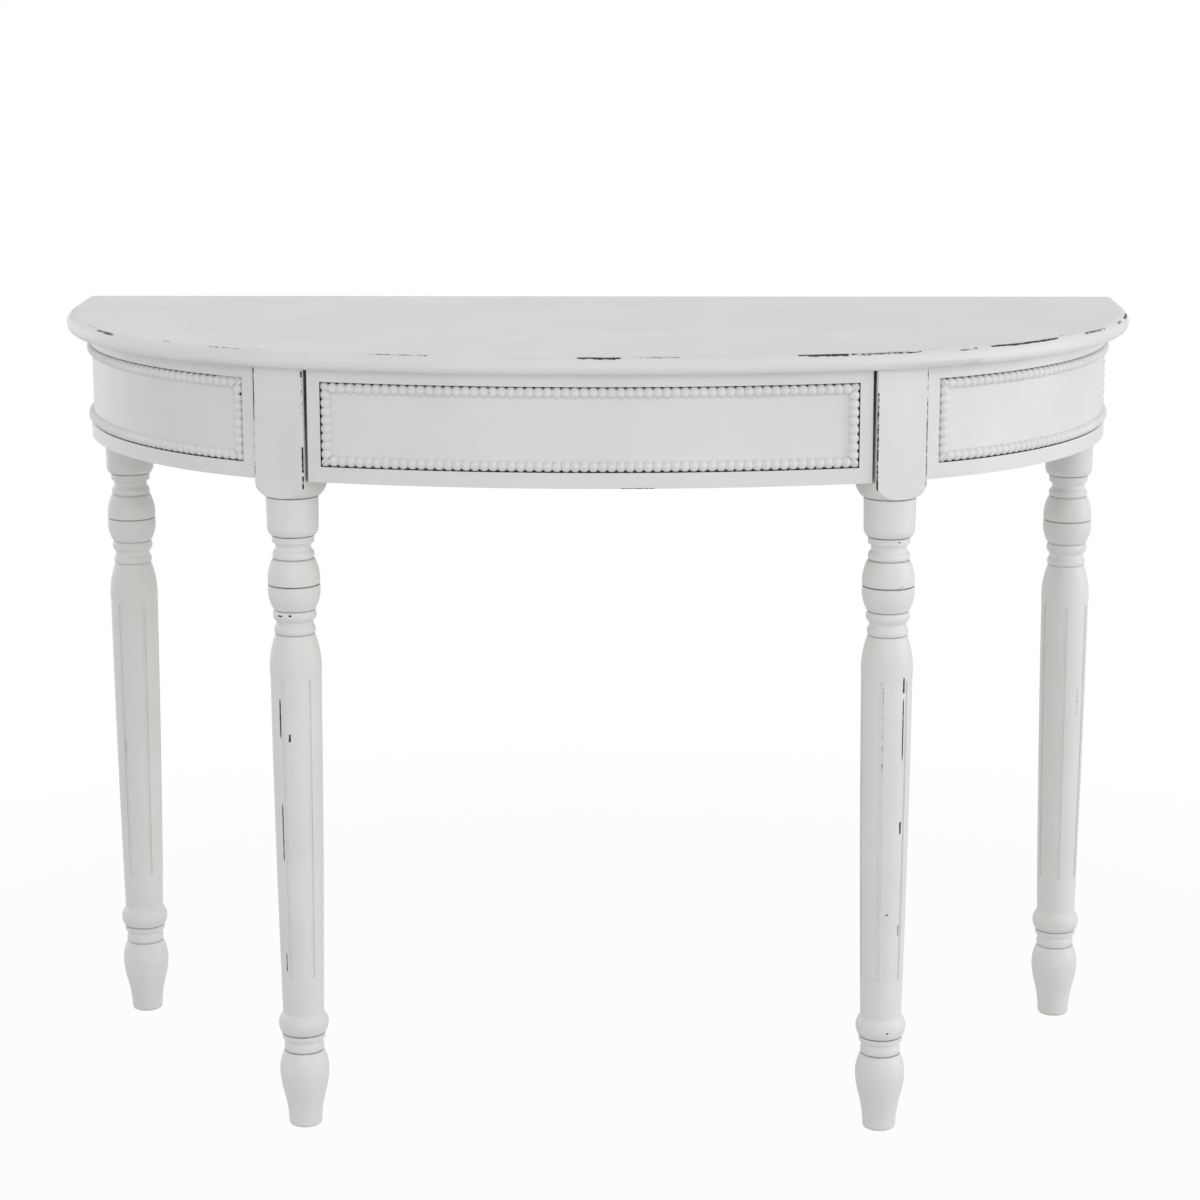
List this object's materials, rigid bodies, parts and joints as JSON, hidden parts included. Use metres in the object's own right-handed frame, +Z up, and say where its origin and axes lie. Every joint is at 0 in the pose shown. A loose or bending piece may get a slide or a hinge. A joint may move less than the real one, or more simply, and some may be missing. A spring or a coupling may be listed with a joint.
{
  "type": "demilune table",
  "caption": "Demilune console table with a bowed top, turned fluted legs, beaded apron panels and a shallow bowed drawer, to stand flat against a wall.",
  "frame": {"origin": "middle of the bounding box at floor level", "axes": "+Z up, +X along the wall to the right seen from the front, +Y from the bowed front to the flat wall side"},
  "size_m": [1.1, 0.4799, 0.78],
  "materials": {
    "painted_wood": "satin white paint, rubbed through to a dark ground along edges",
    "bare_wood": "planed, unfinished",
    "drawer_plywood": "sanded plywood",
    "screw_steel": "zinc plated"
  },
  "bodies": {
    "frame": {"apron_dowels": "bare_wood", "back_leg_left": "painted_wood", "back_leg_right": "painted_wood", "back_rail": "painted_wood", "front_leg_left": "painted_wood", "front_leg_right": "painted_wood", "front_lower_rail": "bare_wood", "front_top_rail": "bare_wood", "kicker_left": "bare_wood", "kicker_right": "bare_wood", "left_apron_beads_bottom": "painted_wood", "left_apron_beads_left": "painted_wood", "left_apron_beads_right": "painted_wood", "left_apron_beads_top": "painted_wood", "rail_dowels": "bare_wood", "rail_screws": "screw_steel", "right_apron_beads_bottom": "painted_wood", "right_apron_beads_left": "painted_wood", "right_apron_beads_right": "painted_wood", "right_apron_beads_top": "painted_wood", "runner_dowels": "bare_wood", "runner_left": "bare_wood", "runner_right": "bare_wood", "side_apron_left": "painted_wood", "side_apron_right": "painted_wood", "top": "painted_wood", "top_blocks": "bare_wood", "top_screws": "screw_steel"},
    "drawer": {"drawer_back": "bare_wood", "drawer_beads_bottom": "painted_wood", "drawer_beads_left": "painted_wood", "drawer_beads_right": "painted_wood", "drawer_beads_top": "painted_wood", "drawer_bottom": "drawer_plywood", "drawer_dowels": "bare_wood", "drawer_front": "painted_wood", "drawer_left_side": "bare_wood", "drawer_right_side": "bare_wood"}
  },
  "joints": [
    {"name": "drawer_slide", "type": "slide", "parent": "frame", "child": "drawer", "axis": [0, -1, 0], "range_m": [0, 0.25]}
  ]
}
